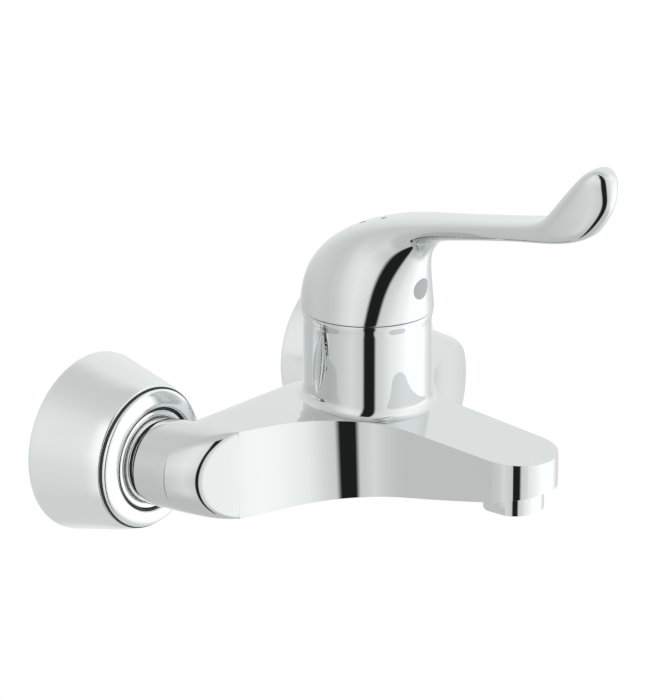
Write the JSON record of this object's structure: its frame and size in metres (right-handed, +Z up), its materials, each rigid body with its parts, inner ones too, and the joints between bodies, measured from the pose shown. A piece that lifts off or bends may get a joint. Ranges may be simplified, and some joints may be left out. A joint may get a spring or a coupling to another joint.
{
  "type": "shower mixer",
  "caption": "Wall mounted single lever mixer: wall unions feed a cast body with a fixed spout and aerator, and a long lever on top sets flow and temperature.",
  "frame": {"origin": "on the wall plane, midway between the axes of the two wall threads", "axes": "+Z up, +Y into the wall, so the spout points along -Y; +X to the right seen from the front, with hot on the left"},
  "size_m": [0.222, 0.2103, 0.1667],
  "materials": {
    "chrome": "polished",
    "brass": "machined",
    "steel": "machined",
    "rubber": "matte",
    "ceramic": "lapped",
    "nylon": "moulded",
    "plug": "satin"
  },
  "bodies": {
    "body": {"mixer_body": "chrome", "union_nut_hot": "chrome", "union_nut_cold": "chrome", "escutcheon_hot": "chrome", "escutcheon_cold": "chrome", "aerator_housing": "chrome", "s_union_hot": "brass", "s_union_cold": "brass", "clamping_nut": "brass", "check_valve_spring_hot": "steel", "check_valve_spring_cold": "steel", "inlet_washer_hot": "rubber", "inlet_washer_cold": "rubber", "port_seals": "rubber", "aerator_seal": "rubber", "fixed_disc": "ceramic", "cartridge_housing": "nylon", "cartridge_base": "nylon", "check_valve_housing_hot": "nylon", "check_valve_housing_cold": "nylon", "aerator_insert": "nylon", "escutcheon_ring_hot": "nylon", "escutcheon_ring_cold": "nylon"},
    "swivel": {"stem_guide": "nylon", "pivot_pin": "steel", "temperature_limiter": "nylon"},
    "disc": {"moving_disc": "ceramic", "disc_carrier": "nylon"},
    "lever": {"lever_handle": "chrome", "stem": "steel", "grub_screw": "steel", "index_plug": "plug"},
    "poppet_hot": {"check_valve_poppet_hot": "nylon"},
    "poppet_cold": {"check_valve_poppet_cold": "nylon"}
  },
  "joints": [
    {"name": "temperature_swivel", "type": "hinge", "parent": "body", "child": "swivel", "pos_m": [0, -0.079, 0.0465], "axis": [0, 0, 1], "range_deg": [-45, 45]},
    {"name": "flow_lift", "type": "hinge", "parent": "swivel", "child": "lever", "pos_m": [0, -0.079, 0.0465], "axis": [-1, 0, 0], "range_deg": [0, 25]},
    {"name": "disc_slide", "type": "slide", "parent": "swivel", "child": "disc", "axis": [0, -1, 0], "range_m": [0, 0.0042]},
    {"name": "check_hot", "type": "slide", "parent": "body", "child": "poppet_hot", "axis": [0, -1, 0], "range_m": [0, 0.003], "stiffness_N_per_m": 100, "springref_m": -0.005, "deforming": ["check_valve_spring_hot"]},
    {"name": "check_cold", "type": "slide", "parent": "body", "child": "poppet_cold", "axis": [0, -1, 0], "range_m": [0, 0.003], "stiffness_N_per_m": 100, "springref_m": -0.005, "deforming": ["check_valve_spring_cold"]}
  ],
  "couplings": [
    {"joint": "disc_slide", "follows": "flow_lift", "m_per_rad": 0.009424}
  ]
}
